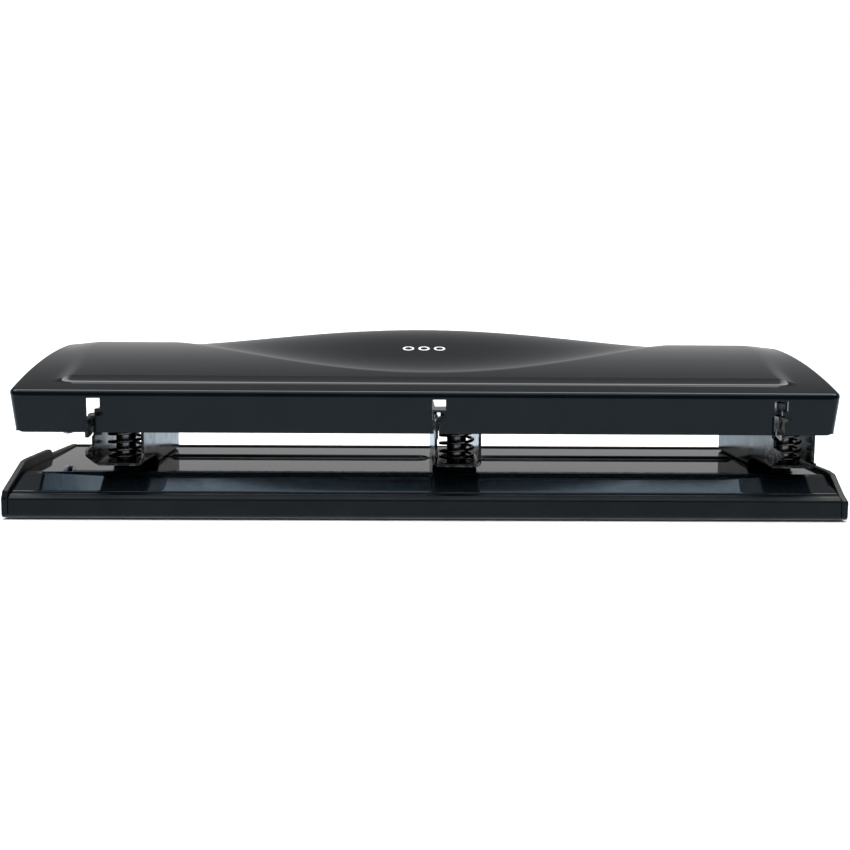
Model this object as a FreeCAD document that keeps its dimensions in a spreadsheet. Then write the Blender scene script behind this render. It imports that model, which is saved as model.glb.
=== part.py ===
import FreeCAD, Part
import Sketcher
import math
import os

# Three-hole lever punch.  +X to the right, +Y to the back, +Z up, millimetres.
# Inside this file a piece is drawn in bench coordinates: y from the base's front edge, z from the
# tray's lower edge.  Each piece's Placement then moves it so that the origin is the middle of the
# underside of the rubber pads.

doc = FreeCAD.newDocument("three_hole_punch")
sheet = doc.addObject("Spreadsheet::Sheet", "sizes")

SIZES = {
    # base
    "base_width": 264.0, "base_depth": 82.5, "pad_proud": 0.6, "pad_radius": 7.0,
    "pad_recess": 0.8, "pad_inset": 16.0, "part_gap": 0.3,
    "tray_wall": 2.0, "tray_floor": 2.0, "tray_front": 6.0, "lip_top": 7.5, "lip_depth": 3.3,
    "foot_round": 0.8,
    "rim_wall": 2.1, "rim_top": 13.0, "stop_top": 15.2, "stop_front": 20.0, "stop_back": 48.5,
    "table_top": 12.0, "ramp_back": 15.5, "ramp_top": 10.5, "ramp_low": 7.9, "step_back": 17.2,
    "plate_sheet": 1.0, "bead_rise": 1.1, "bead_at": 52.5, "bead_width": 4.2,
    # punch heads
    "hole_spacing": 107.95, "center_head": 9.84, "pin_at": 22.8, "pin_radius": 3.175,
    "running_fit": 0.05, "die_wall": 1.4, "frame_width": 15.2, "frame_sheet": 0.9, "throat": 2.7,
    "frame_front": 14.0, "floor_front": 12.0, "throat_back": 33.0, "foot_front": 37.5,
    "frame_back": 74.6, "frame_top": 31.7, "nose_front": 0.5, "nose_top": 32.4,
    "lower_nose_top": 21.3, "notch_low": 24.4, "notch_high": 26.4, "upper_nose_low": 25.0,
    "bend_radius": 1.6, "rivet_front": 46.0, "rivet_back": 62.0, "rivet_radius": 2.0,
    "spring_radius": 5.35, "spring_wire": 0.5, "spring_pitch": 2.6,
    "washer_low": 28.0, "washer_thick": 0.8, "ring_thick": 0.8, "groove_radius": 2.6,
    "pin_top": 36.1, "guide_sheet": 0.8, "guide_length": 13.6,
    # lever and its hinge
    "rod_at": 70.0, "rod_height": 22.0, "rod_radius": 2.5, "rod_end": 2.0, "ear_radius": 4.0,
    "lid_sheet": 1.0, "lid_front": 5.8, "lid_back": 77.0, "lid_half_width": 130.7,
    "skirt_lean": 1.6, "skirt_bottom": 26.1, "skirt_top": 38.2, "back_skirt_bottom": 46.0,
    "edge_rise": 11.3, "edge_front": 39.0, "edge_arch": 0.001742,
    "panel_rise": 1.6, "panel_front": 13.5, "panel_slope": 3.0, "panel_half_width": 119.5,
    "panel_widens": 11.0, "panel_widens_over": 45.0, "panel_end_front": 7.0,
    "panel_end_softens": 6.0, "panel_fade": 0.4,
    "bulge_rise": 5.9, "bulge_half_width": 86.0, "bulge_foot": 50.5,
    "crease_front": 20.5, "crease_half_width": 90.0,
    "slot_left": 0.9, "slot_right": 1.7, "window_right": 3.4, "window_low": 33.9,
    "window_top": 37.3, "slot_low": 27.4, "slit_gap": 0.35,
    "bar_low": 37.9, "bar_top": 40.6, "bar_width": 10.0, "bar_sheet": 1.2,
    "button_radius": 4.0, "button_low": 36.4,
}

HEADS = {"left": -1, "center": 0, "right": 1}
MIDDLE_OF_BASE = "-<<sizes>>.base_depth / 2"
TABLE_TO_FLOOR = "<<sizes>>.pad_proud"


def fill_sheet():
    for row, (alias, value) in enumerate(SIZES.items(), start=1):
        sheet.set(f"A{row}", alias)
        sheet.set(f"B{row}", str(value))
        sheet.setAlias(f"B{row}", alias)
    doc.recompute()


def size(alias):
    return float(sheet.get(alias))


def cell(formula):
    """Turns a formula of plain aliases into one that FreeCAD reads from the sheet."""
    return " ".join(f"<<sizes>>.{word}" if word in SIZES else word for word in formula.split())


def worth(formula):
    """The same formula's number.  A formula is a sum of products and has no brackets."""
    total, sign, factor, product = 0.0, 1.0, "*", None
    for word in formula.split():
        if word in "+-":
            if product is not None:
                total += sign * product
            sign, product = (1.0 if word == "+" else -1.0), None
        elif word in "*/":
            factor = word
        else:
            number = size(word) if word in SIZES else float(word)
            if product is None:
                product = number
            else:
                product = product * number if factor == "*" else product / number
    return total + sign * product


def place(item, label, x="0", y="0", z="0"):
    item.Label = label
    item.setExpression("Placement.Base.x", cell(x))
    item.setExpression("Placement.Base.y", f"{MIDDLE_OF_BASE} + {cell(y)}")
    item.setExpression("Placement.Base.z", f"{TABLE_TO_FLOOR} + {cell(z)}")
    return item


def head_x(head):
    """Where a punch head's centre line stands across the base."""
    side = HEADS[head]
    return f"center_head + {side} * hole_spacing" if side >= 0 else "center_head - hole_spacing"


def new_body(label, x="0", y="0", z="0"):
    body = doc.addObject("PartDesign::Body", label)
    return place(body, label, x, y, z)


def new_sketch(body, plane, name, lift="0"):
    sketch = body.newObject("Sketcher::SketchObject", f"{body.Name}_{name}")
    face = [item for item in body.Origin.OriginFeatures if item.Role == plane][0]
    sketch.AttachmentSupport = [(face, "")]
    sketch.MapMode = "FlatFace"
    sketch.setExpression("AttachmentOffset.Base.z", cell(lift))
    return sketch


def hold_point(sketch, geometry, position, corner):
    """Ties one point of a sketch to the sheet, measured from the sketch's origin."""
    for kind, formula in zip(("DistanceX", "DistanceY"), corner):
        index = sketch.addConstraint(
            Sketcher.Constraint(kind, -1, 1, geometry, position, worth(formula)))
        sketch.setExpression(f"Constraints[{index}]", cell(formula))


def outline(body, plane, name, corners, lift="0"):
    """A closed outline of straight sides whose corners are formulas of the sheet."""
    sketch = new_sketch(body, plane, name, lift)
    points = [FreeCAD.Vector(worth(a), worth(b), 0) for a, b in corners]
    count = len(points)
    for index in range(count):
        sketch.addGeometry(Part.LineSegment(points[index], points[(index + 1) % count]), False)
    for index in range(count):
        following = (index + 1) % count
        sketch.addConstraint(Sketcher.Constraint("Coincident", index, 2, following, 1))
    for index, corner in enumerate(corners):
        hold_point(sketch, index, 1, corner)
    return sketch


def circles(body, name, rounds, plane="XY_Plane"):
    """Circles given as (x, y, radius) formulas."""
    sketch = new_sketch(body, plane, name)
    for index, (x, y, radius) in enumerate(rounds):
        centre = FreeCAD.Vector(worth(x), worth(y), 0)
        sketch.addGeometry(Part.Circle(centre, FreeCAD.Vector(0, 0, 1), worth(radius)), False)
        hold_point(sketch, index, 3, (x, y))
        number = sketch.addConstraint(Sketcher.Constraint("Radius", index, worth(radius)))
        sketch.setExpression(f"Constraints[{number}]", cell(radius))
    return sketch


def pad(body, sketch, length, both_ways=True):
    feature = body.newObject("PartDesign::Pad", f"{sketch.Name}_pad")
    feature.Profile = sketch
    feature.setExpression("Length", cell(length))
    feature.Midplane = both_ways
    doc.recompute()
    return feature


def pocket_both_ways(body, sketch, length):
    """Cuts the sketch through the body, half of the length to each side of its plane."""
    before = body.Shape.Volume
    feature = body.newObject("PartDesign::Pocket", f"{sketch.Name}_pocket")
    feature.Profile = sketch
    feature.Midplane = True
    feature.setExpression("Length", cell(length))
    doc.recompute()
    if body.Shape.Volume >= before:
        raise ValueError(f"{feature.Name} cuts nothing")
    return feature


def turned(label, corners, x="0", y="0", z="0"):
    """A body turned about its own Z axis from a half section of (radius, height) corners."""
    body = new_body(label, x, y, z)
    sketch = outline(body, "XZ_Plane", "half_section", corners)
    feature = body.newObject("PartDesign::Revolution", f"{label}_turned")
    feature.Profile = sketch
    feature.ReferenceAxis = (sketch, ["V_Axis"])
    feature.Angle = 360
    doc.recompute()
    return body


def group(label, members):
    """Identical loose pieces that share one node."""
    together = doc.addObject("Part::Compound", label)
    together.Links = members
    together.Label = label
    return together


def chip_tray():
    """The plastic lower shell: front lip, floor, back wall, and two end rims."""
    tray = new_body("chip_tray")
    section = outline(tray, "YZ_Plane", "section", [
        ("0", "foot_round"), ("foot_round", "0"), ("base_depth", "0"),
        ("base_depth", "rim_top - 0.5"), ("base_depth - tray_wall", "rim_top - 0.5"),
        ("base_depth - tray_wall", "tray_floor"), ("tray_wall", "tray_floor"),
        ("tray_wall", "tray_front - 0.6"), ("lip_depth", "tray_front + 0.4"),
        ("lip_depth", "lip_top"), ("lip_depth / 2", "lip_top - 0.3"), ("0", "tray_front")])
    pad(tray, section, "base_width - 2 * rim_wall")
    left = outline(tray, "YZ_Plane", "paper_stop", [
        ("0", "foot_round"), ("foot_round", "0"), ("base_depth", "0"),
        ("base_depth", "rim_top - 0.4"), ("stop_back + 2", "rim_top + 0.2"),
        ("stop_back", "stop_top - 0.2"),
        ("stop_front + 4", "stop_top"), ("stop_front", "stop_top - 0.3"), ("1.5", "lip_top + 1"),
        ("0", "tray_front")], lift="0 - base_width / 2")
    pad(tray, left, "rim_wall", both_ways=False)
    right = outline(tray, "YZ_Plane", "end_rim", [
        ("0", "foot_round"), ("foot_round", "0"), ("base_depth", "0"),
        ("base_depth", "rim_top - 0.2"), ("17", "rim_top + 0.3"), ("12.5", "rim_top - 0.1"),
        ("lip_depth + 0.6", "lip_top + 0.2"), ("0", "tray_front")],
        lift="base_width / 2 - rim_wall")
    pad(tray, right, "rim_wall", both_ways=False)
    seats = circles(tray, "pad_seats", [(x, y, "pad_radius + running_fit") for x, y in pad_places()])
    pocket_both_ways(tray, seats, "2 * pad_recess")
    return tray


def pad_places():
    across = "base_width / 2 - pad_inset"
    other = "pad_inset - base_width / 2"
    near, far = "pad_inset", "base_depth - pad_inset"
    return [(other, near), (across, near), (other, far), (across, far)]


def tray_pads():
    pads = [turned(f"pad_{index}", [("0", "0 - pad_proud"), ("pad_radius - 0.5", "0 - pad_proud"),
                                    ("pad_radius", "0.5 - pad_proud"), ("pad_radius", "pad_recess"),
                                    ("0", "pad_recess")], x, y)
            for index, (x, y) in enumerate(pad_places())]
    return group("tray_pads", pads)


def base_plate():
    """The pressed plate: front flange, ramp, step, flat table, back flange and two beads."""
    plate = new_body("base_plate")
    front, back = "lip_depth + part_gap", "base_depth - tray_wall - part_gap"
    low = "tray_floor + part_gap"
    section = outline(plate, "YZ_Plane", "section", [
        (front, low), (front, "ramp_low - 0.7"), (f"{front} + 0.6", "ramp_low"),
        ("ramp_back", "ramp_top"), ("step_back", "table_top"), (f"{back} - 0.8", "table_top"),
        (back, "table_top - 0.8"), (back, low), (f"{back} - plate_sheet", low),
        (f"{back} - plate_sheet", "table_top - plate_sheet"),
        ("step_back + 0.4", "table_top - plate_sheet"), ("ramp_back + 0.4", "ramp_top - plate_sheet"),
        (f"{front} + 1.2", "ramp_low - 0.9"), (f"{front} + plate_sheet", "ramp_low - 1.2"),
        (f"{front} + plate_sheet", low)])
    pad(plate, section, "base_width - 2 * rim_wall - 2 * part_gap")
    bead = outline(plate, "YZ_Plane", "bead", [
        ("bead_at - bead_width / 2", "table_top - 0.3"), ("bead_at - bead_width / 2", "table_top"),
        ("bead_at - 0.9", "table_top + bead_rise"), ("bead_at + 0.9", "table_top + bead_rise"),
        ("bead_at + bead_width / 2", "table_top"), ("bead_at + bead_width / 2", "table_top - 0.3")],
        lift="center_head - hole_spacing / 2")
    ridge = pad(plate, bead, "hole_spacing - frame_width - 3")
    pattern = plate.newObject("PartDesign::LinearPattern", "bead_pattern")
    pattern.Originals = [ridge]
    pattern.Direction = (bead, ["N_Axis"])
    pattern.Length = size("hole_spacing")
    pattern.setExpression("Length", cell("hole_spacing"))
    pattern.Occurrences = 2
    plate.Tip = pattern
    doc.recompute()
    holes = []
    for head in HEADS:
        holes.append((head_x(head), "pin_at", "pin_radius + die_wall + 0.02"))
        for rivet in ("rivet_front", "rivet_back"):
            holes.append((head_x(head), rivet, "rivet_radius + 0.02"))
    pocket_both_ways(plate, circles(plate, "holes", holes), "4 * table_top")
    return plate


def die(head):
    bore = "pin_radius + running_fit"
    rim, collar = "pin_radius + die_wall", "pin_radius + die_wall + 0.6"
    under_plate = "table_top - plate_sheet - 0.02"
    return turned(f"{head}_die", [
        (bore, "table_top - 3.6"), (collar, "table_top - 3.6"), (collar, under_plate),
        (rim, under_plate), (rim, "table_top"), (bore, "table_top")], head_x(head), "pin_at")


def frame(head):
    """A U of sheet: two walls, a raised floor over the paper throat, a foot on the plate, and on
    the left wall the two noses that reach out through the lever's slot, the upper one curled."""
    body = new_body(f"{head}_frame", head_x(head))
    under, floor = "table_top + throat", "table_top + throat + frame_sheet"
    foot, beyond = "table_top + frame_sheet", "frame_back + 2"
    walls = outline(body, "YZ_Plane", "walls", [
        ("floor_front", under), ("throat_back", under), ("foot_front", "table_top"),
        ("frame_back", "table_top"), ("frame_back", "frame_top"), ("frame_front", "frame_top"),
        ("frame_front", floor), ("floor_front", floor)])
    pad(body, walls, "frame_width")
    inside = outline(body, "YZ_Plane", "inside", [
        ("floor_front - 1", floor), ("throat_back + 0.4", floor), ("foot_front + 0.4", foot),
        (beyond, foot), (beyond, "frame_top + 2"), ("floor_front - 1", "frame_top + 2")])
    pocket_both_ways(body, inside, "frame_width - 2 * frame_sheet")
    round_outside(body, "floor_bends", worth(under), size("frame_back"))
    notch, overlap = "lid_front + 4.7", "frame_front + 1"
    nose = outline(body, "YZ_Plane", "nose", [
        (overlap, under), ("floor_front", under), ("nose_front", f"{under} + 4.6"),
        ("nose_front", "lower_nose_top"), ("lid_front + 2.9", "lower_nose_top + 0.5"),
        ("lid_front + 2.9", "notch_low"), (notch, "notch_low + 0.4"), (notch, "notch_high"),
        ("lid_front + 1.7", "notch_high"), ("nose_front + 2", "upper_nose_low"),
        ("nose_front", "upper_nose_low"), ("nose_front", "nose_top"),
        ("lid_front + 3.6", "nose_top"), (notch, "frame_top"), (overlap, "frame_top")],
        lift="0 - frame_width / 2")
    pad(body, nose, "frame_sheet", both_ways=False)
    curl = outline(body, "YZ_Plane", "curl", [
        ("nose_front", "nose_top - frame_sheet"), ("nose_front + 3.8", "nose_top - frame_sheet"),
        ("nose_front + 3.8", "nose_top"), ("nose_front", "nose_top")], lift="0 - frame_width / 2")
    pad(body, curl, "3 * frame_sheet + 0.3", both_ways=False)
    round_outside(body, "lip_bend", size("nose_top"), size("lid_front"))
    through_walls = circles(body, "rod_hole", [
        ("rod_at", "rod_height", "rod_radius + 0.02")], plane="YZ_Plane")
    pocket_both_ways(body, through_walls, "2 * frame_width")
    through_floor = circles(body, "floor_holes", [
        ("0", "pin_at", "pin_radius + running_fit"), ("0", "rivet_front", "rivet_radius + 0.02"),
        ("0", "rivet_back", "rivet_radius + 0.02")])
    pocket_both_ways(body, through_floor, "2 * frame_top")
    return body


def round_outside(body, name, height, reach):
    """Rounds the bends that run front to back on the walls' outer faces at this height, over the
    stretch in front of reach."""
    half, wanted, before = size("frame_width") / 2, [], body.Tip
    for index, edge in enumerate(body.Shape.Edges, start=1):
        box, middle = edge.BoundBox, edge.CenterOfMass - body.Placement.Base
        along_y = box.YLength > 3 and box.XLength < 0.01 and box.ZLength < 0.01
        outside = abs(abs(middle.x) - half) < 0.01 and abs(middle.z - height) < 0.01
        if along_y and outside and middle.y < reach:
            wanted.append(f"Edge{index}")
    feature = body.newObject("PartDesign::Fillet", f"{body.Name}_{name}")
    feature.Base = (before, wanted)
    feature.setExpression("Radius", cell("bend_radius"))
    doc.recompute()


def guide(head):
    """The saddle that sits on the walls' tops and guides the pin."""
    body = new_body(f"{head}_guide", head_x(head), "pin_at")
    inner, outer = "frame_width / 2 + 0.03", "frame_width / 2 + 0.03 + guide_sheet"
    left_inner, left_outer = "0 - frame_width / 2 - 0.03", "0 - frame_width / 2 - 0.03 - guide_sheet"
    low, under = "frame_top - 2.4", "frame_top + 0.03"
    section = outline(body, "XZ_Plane", "section", [
        (left_outer, low), (left_inner, low), (left_inner, under), (inner, under), (inner, low),
        (outer, low), (outer, f"{under} + guide_sheet"), (left_outer, f"{under} + guide_sheet")])
    pad(body, section, "guide_length")
    hole = circles(body, "hole", [("0", "0", "pin_radius + running_fit")])
    pocket_both_ways(body, hole, "3 * frame_top")
    return body


def frame_rivets():
    rivets = []
    under, foot = "table_top - plate_sheet - 0.02", "table_top + frame_sheet + 0.02"
    for head in HEADS:
        for place_name in ("rivet_front", "rivet_back"):
            rivets.append(turned(f"{head}_{place_name}", [
                ("0", f"{under} - 1"), ("rivet_radius + 0.9", f"{under} - 1"),
                ("rivet_radius + 1.2", under), ("rivet_radius", under), ("rivet_radius", foot),
                ("rivet_radius + 1.4", foot), ("rivet_radius + 0.8", f"{foot} + 0.8"),
                ("0", f"{foot} + 1.1")], head_x(head), place_name))
    return group("frame_rivets", rivets)


def hinge_rod():
    """The rod reaches rod_end past each ear's outer face and into a cap."""
    rod = doc.addObject("Part::Cylinder", "hinge_rod")
    rod.setExpression("Radius", cell("rod_radius"))
    rod.setExpression("Height", cell("2 * lid_half_width - 2 * skirt_lean + 2 * rod_end"))
    rod.Placement = FreeCAD.Placement(FreeCAD.Vector(), FreeCAD.Rotation(FreeCAD.Vector(0, 1, 0), 90))
    return place(rod, "hinge_rod", "skirt_lean - lid_half_width - rod_end", "rod_at", "rod_height")


def rod_caps():
    caps = []
    bore = "rod_radius + 0.01"
    for name, turn, side in (("left_cap", -90, "skirt_lean - lid_half_width - part_gap"),
                             ("right_cap", 90, "lid_half_width - skirt_lean + part_gap")):
        cap = turned(name, [(bore, "0"), ("ear_radius + 0.2", "0"), ("ear_radius + 0.2", "1.4"),
                            ("ear_radius - 0.8", "2.3"), ("0", "2.3"), ("0", "1.75"),
                            (bore, "1.75")], side, "rod_at", "rod_height")
        cap.Placement.Rotation = FreeCAD.Rotation(FreeCAD.Vector(0, 1, 0), turn)
        caps.append(cap)
    doc.recompute()
    return group("rod_caps", caps)


def smooth(value):
    """0 below 0, 1 above 1 and an S between."""
    value = min(max(value, 0.0), 1.0)
    return value * value * (3 - 2 * value)


def arch_height(x, y):
    """The lever's upper surface without the palm bulge: an arch from front to back and a raised
    panel that fades towards the back."""
    back, depth = y - size("lid_front"), size("lid_back") - size("lid_front")
    slope = size("edge_rise") / depth + size("edge_arch") * depth
    arch = size("edge_front") + slope * back - size("edge_arch") * back * back
    rise_front = min(max((y - size("panel_front")) / size("panel_slope"), 0), 1) ** 2
    widening = smooth((y - size("crease_front")) / size("panel_widens_over"))
    end = size("panel_half_width") + size("panel_widens") * widening
    slope = size("panel_end_front") + widening * size("panel_end_softens")
    rise_end = smooth((end - abs(x)) / slope)
    fade = 1 - size("panel_fade") * max(y - size("panel_front"), 0) / depth
    return arch + size("panel_rise") * rise_front * rise_end * fade


def lid_height(x, y):
    """The whole upper surface.  Behind a curved crease the palm bulge starts flat, climbs and
    flattens again at the back edge."""
    rear = size("lid_back")
    reach = rear - size("crease_front")
    crease = size("crease_front") + reach * (x / size("crease_half_width")) ** 2
    if y <= crease or crease >= rear:
        return arch_height(x, y)
    across = min(abs(x) / size("bulge_half_width"), 1)
    swell = size("bulge_rise") * max(math.cos(math.pi * across / 2), 0) ** 1.3
    start, end = arch_height(x, crease), size("bulge_foot") + swell
    along = (y - crease) / (rear - crease)
    return start + (end - start) * (0.3 * along + 0.7 * smooth(along))


def lid_surface(lower_by):
    """The upper surface as one smooth face a little larger than the lid, lowered if asked."""
    columns, rows, margin = 60, 30, 2.0
    half, front = size("lid_half_width") + margin, size("lid_front") - margin
    depth = size("lid_back") + margin - front
    grid = []
    for column in range(columns + 1):
        x = half * (2 * column / columns - 1)
        line = []
        for row in range(rows + 1):
            y = front + depth * row / rows
            line.append(FreeCAD.Vector(x, y, lid_height(x, y) - lower_by))
        grid.append(line)
    surface = Part.BSplineSurface()
    surface.interpolate(grid)
    return surface.toShape()


def prism(points, along):
    wire = Part.makePolygon([FreeCAD.Vector(*point) for point in points + points[:1]])
    return Part.Face(wire).extrude(FreeCAD.Vector(*along))


def lid_block(inset):
    """The space under the upper surface and between the skirts, drawn in by the inset."""
    lowered = lid_surface(inset).extrude(FreeCAD.Vector(0, 0, -60))
    half, lean = size("lid_half_width") - inset, size("skirt_lean")
    front, back = size("lid_front") + inset, size("lid_back") - inset
    top, low, bottom = size("skirt_top"), size("skirt_bottom"), 10.0
    ends = prism([(-half, front, 70), (-half, front, top), (-half + lean, front, low),
                  (-half + lean, front, bottom), (half - lean, front, bottom),
                  (half - lean, front, low), (half, front, top), (half, front, 70)],
                 (0, back - front, 0))
    return lowered.common(ends)


def side_silhouette():
    """The lid seen from its end: skirt bottoms and the ears round the hinge rod."""
    left, width = -size("base_width") / 2, size("base_width")
    low, ear = size("skirt_bottom"), size("ear_radius")
    rod_y, rod_z = size("rod_at"), size("rod_height")
    front, back = size("lid_front") - 5, size("lid_back") + 5
    panel = prism([(left, front, low), (left, rod_y - 3 * ear, low), (left, rod_y - ear, rod_z),
                   (left, rod_y + ear, rod_z), (left, rod_y + ear, size("back_skirt_bottom")),
                   (left, back, size("back_skirt_bottom")), (left, back, 70), (left, front, 70)],
                  (width, 0, 0))
    axis = FreeCAD.Vector(1, 0, 0)
    ears = Part.makeCylinder(ear, width, FreeCAD.Vector(left, rod_y, rod_z), axis)
    hole = size("rod_radius") + size("running_fit")
    bore = Part.makeCylinder(hole, width, FreeCAD.Vector(left, rod_y, rod_z), axis)
    return panel.fuse(ears).cut(bore)


def slot_cutter(head):
    """The keyhole slot in the front skirt that clears one frame's left wall."""
    wall = worth(head_x(head)) - size("frame_width") / 2
    near, through = size("lid_front") - 1, 4.0
    spans = [(-size("slot_left"), size("window_right"), size("window_low"), size("window_top")),
             (-size("slot_left"), size("slot_right"), size("slot_low"), size("window_low")),
             (-size("slit_gap"), size("frame_sheet") + size("slit_gap"), size("skirt_bottom") - 1,
              size("slot_low"))]
    cutters = [Part.makeBox(right - left, through, top - low, FreeCAD.Vector(wall + left, near, low))
               for left, right, low, top in spans]
    return cutters[0].fuse(cutters[1:])


def lever():
    shell = lid_block(0.0).cut(lid_block(size("lid_sheet")))
    shell = shell.common(side_silhouette())
    for head in HEADS:
        shell = shell.cut(slot_cutter(head))
    lid = doc.addObject("Part::Feature", "lever")
    lid.Shape = shell.Solids[0] if len(shell.Solids) == 1 else shell
    return place(lid, "lever")


def press_bar():
    """A shallow channel across the lid, web down, that carries the three buttons."""
    bar = new_body("press_bar", "0", "pin_at")
    sheet_top, half = "bar_low + bar_sheet", "bar_width / 2"
    section = outline(bar, "YZ_Plane", "section", [
        (f"0 - {half}", "bar_low"), (half, "bar_low"), (half, "bar_top"),
        (f"{half} - bar_sheet", "bar_top"), (f"{half} - bar_sheet", sheet_top),
        (f"bar_sheet - {half}", sheet_top), (f"bar_sheet - {half}", "bar_top"),
        (f"0 - {half}", "bar_top")])
    pad(bar, section, "2 * lid_half_width - 2 * lid_sheet - 0.4")
    return bar


def press_pads():
    buttons = [turned(f"{head}_button", [
        ("0", "button_low"), ("button_radius - 0.5", "button_low"),
        ("button_radius", "button_low + 0.5"), ("button_radius", "bar_low"), ("0", "bar_low")],
        head_x(head), "pin_at") for head in HEADS]
    return group("press_pads", buttons)


def punch_pin(head):
    """A hardened pin: sharp rim round a hollow tip, groove for the ring, domed head."""
    tip, groove = "table_top + throat", "washer_low + washer_thick"
    return turned(f"{head}_pin", [
        ("0", f"{tip} + 0.9"), ("pin_radius", tip), ("pin_radius", groove),
        ("groove_radius", groove), ("groove_radius", f"{groove} + ring_thick + 0.02"),
        ("pin_radius", f"{groove} + ring_thick + 0.02"), ("pin_radius", "pin_top - 1.2"),
        ("pin_radius - 0.7", "pin_top - 0.35"), ("pin_radius - 1.8", "pin_top"),
        ("0", "pin_top")], head_x(head), "pin_at")


def washer(head):
    top = "washer_low + washer_thick"
    bore, rim = "pin_radius + running_fit", "spring_radius + 0.35"
    return turned(f"{head}_washer", [(bore, "washer_low"), (rim, "washer_low"), (rim, top),
                                     (bore, top)], head_x(head), "pin_at")


def ring(head):
    low = "washer_low + washer_thick + 0.01"
    bore, rim = "groove_radius + running_fit", "spring_radius - 0.6"
    return turned(f"{head}_ring", [(bore, low), (rim, low), (rim, f"{low} + ring_thick"),
                                   (bore, f"{low} + ring_thick")], head_x(head), "pin_at")


def spring(head):
    """Round wire wound about the pin: one close turn at each end, open turns between."""
    wire, radius = size("spring_wire"), size("spring_radius")
    low = worth("table_top + throat + frame_sheet") + wire + 0.05
    high = size("washer_low") - wire - 0.05
    close = 2 * wire + 0.04
    turns = [(close, close), (size("spring_pitch"), high - low - 2 * close), (close, close)]
    coils = []
    start = low
    for pitch, length in turns:
        helix = Part.makeHelix(pitch, length, radius)
        helix.translate(FreeCAD.Vector(0, 0, start))
        coils.append(helix)
        start += length
    open_turns = turns[1][1] / turns[1][0]
    coils[2].rotate(FreeCAD.Vector(), FreeCAD.Vector(0, 0, 1), 360 * open_turns)
    route = Part.Wire([edge for coil in coils for edge in coil.Edges])
    section = Part.Wire(Part.Circle(FreeCAD.Vector(radius, 0, low), FreeCAD.Vector(0, 1, 0),
                                    wire).toShape())
    coil_spring = doc.addObject("Part::Feature", f"{head}_spring")
    coil_spring.Shape = route.makePipeShell([section], True, True)
    return place(coil_spring, f"{head}_spring", head_x(head), "pin_at")


def check(piece):
    """Stops if a feature failed or a piece has no sound solid."""
    for item in doc.Objects:
        if "Invalid" in item.State or "Error" in item.State:
            raise ValueError(f"{item.Label} failed: {item.State}")
    if piece.Shape.isNull() or not piece.Shape.isValid() or not piece.Shape.Solids:
        raise ValueError(f"{piece.Label} has no sound solid")


def write(pieces):
    os.makedirs("parts", exist_ok=True)
    for piece in pieces:
        check(piece)
        piece.Shape.exportStep(f"parts/{piece.Label}.step")
        print(piece.Label, len(piece.Shape.Solids), round(piece.Shape.Volume, 1))


def main():
    fill_sheet()
    pieces = [chip_tray(), tray_pads(), base_plate(), frame_rivets(), hinge_rod(), rod_caps(),
              lever(), press_bar(), press_pads()]
    for head in HEADS:
        for make in (die, frame, guide, punch_pin, washer, ring, spring):
            pieces.append(make(head))
    doc.recompute()
    write(pieces)


main()
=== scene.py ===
import math

import bmesh
import bpy
from mathutils import Matrix, Vector


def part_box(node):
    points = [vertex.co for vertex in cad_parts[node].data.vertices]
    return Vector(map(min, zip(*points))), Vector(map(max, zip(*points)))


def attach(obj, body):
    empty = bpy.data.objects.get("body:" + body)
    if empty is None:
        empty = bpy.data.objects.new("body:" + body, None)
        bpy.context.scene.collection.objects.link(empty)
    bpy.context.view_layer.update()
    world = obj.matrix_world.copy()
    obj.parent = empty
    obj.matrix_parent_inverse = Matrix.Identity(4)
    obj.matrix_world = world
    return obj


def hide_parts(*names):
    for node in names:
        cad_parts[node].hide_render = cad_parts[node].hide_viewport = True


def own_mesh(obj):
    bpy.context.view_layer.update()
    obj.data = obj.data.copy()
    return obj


# Three-hole lever punch, black enamel and plastic on a white table.
# Pieces are drawn in bench millimetres: x from the middle, y from the base's front edge and z from
# the tray's lower edge.  bench() turns them into the CAD's frame in metres, placed on its tray.

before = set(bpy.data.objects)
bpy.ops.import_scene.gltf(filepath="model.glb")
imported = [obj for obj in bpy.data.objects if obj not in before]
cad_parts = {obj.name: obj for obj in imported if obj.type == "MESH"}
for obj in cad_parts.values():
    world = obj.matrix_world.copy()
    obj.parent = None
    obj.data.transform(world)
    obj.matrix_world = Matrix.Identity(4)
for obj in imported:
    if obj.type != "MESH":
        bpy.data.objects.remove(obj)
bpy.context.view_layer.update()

MM = 0.001
TRAY_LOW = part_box("chip_tray")[0]
HEADS = {name: ((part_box(f"{name}_pin")[0].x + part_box(f"{name}_pin")[1].x) / 2) / MM
         for name in ("left", "center", "right")}

# base, millimetres
BASE_HALF, BASE_DEPTH = 132.0, 82.5
TRAY_FRONT, LIP_TOP, LIP_DEPTH, RIM_WALL, FOOT_ROUND = 6.0, 7.5, 3.3, 2.1, 0.8
TRAY_BACK_TOP, PAD_INSET = 12.5, 16.0
TABLE_TOP, RAMP_LOW, RAMP_TOP, RAMP_BACK, STEP_BACK = 12.0, 7.9, 10.5, 15.5, 17.2
PLATE_FRONT, PLATE_BACK, PLATE_HALF, PLATE_SHEET = 3.6, 80.2, 129.6, 1.0
RAMP_FRONT, CREST_FROM, CREST_WIDTH, CREST_RISE = 4.2, 92, 38, 1.1
BEAD_AT, BEAD_WIDTH, BEAD_RISE, BEAD_REACH = 52.5, 4.2, 1.1, 46.0
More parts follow.
